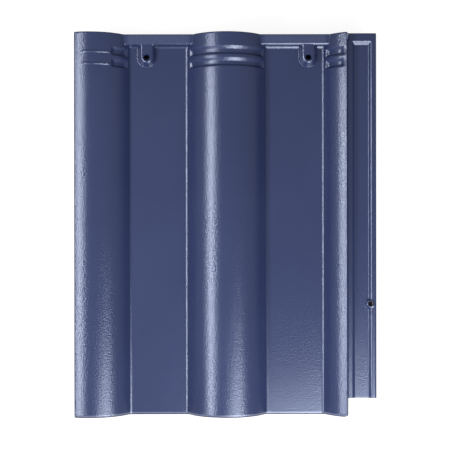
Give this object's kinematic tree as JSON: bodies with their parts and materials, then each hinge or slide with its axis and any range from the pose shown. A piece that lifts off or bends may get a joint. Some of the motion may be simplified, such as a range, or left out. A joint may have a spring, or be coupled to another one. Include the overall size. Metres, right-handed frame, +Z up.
{
  "type": "wave roof tile",
  "caption": "Moulded concrete wave roof tile with round rolls, flat pans, an open side lap channel, nail holes in raised tongues, batten nibs and weather bars below.",
  "frame": {"origin": "centre of the tile's plan, on the level of its feet: the batten nibs and the weather bars stand at Z = 0", "axes": "+Y along the rolls towards the head, +X across the tile towards the side lap channel, +Z up out of the weathered face"},
  "size_m": [0.333, 0.424, 0.0499],
  "materials": {
    "coated_concrete": "satin dark blue coating over concrete on the upper side, bare grey concrete below"
  },
  "bodies": {
    "root": {"roof_tile": "coated_concrete"}
  },
  "joints": []
}
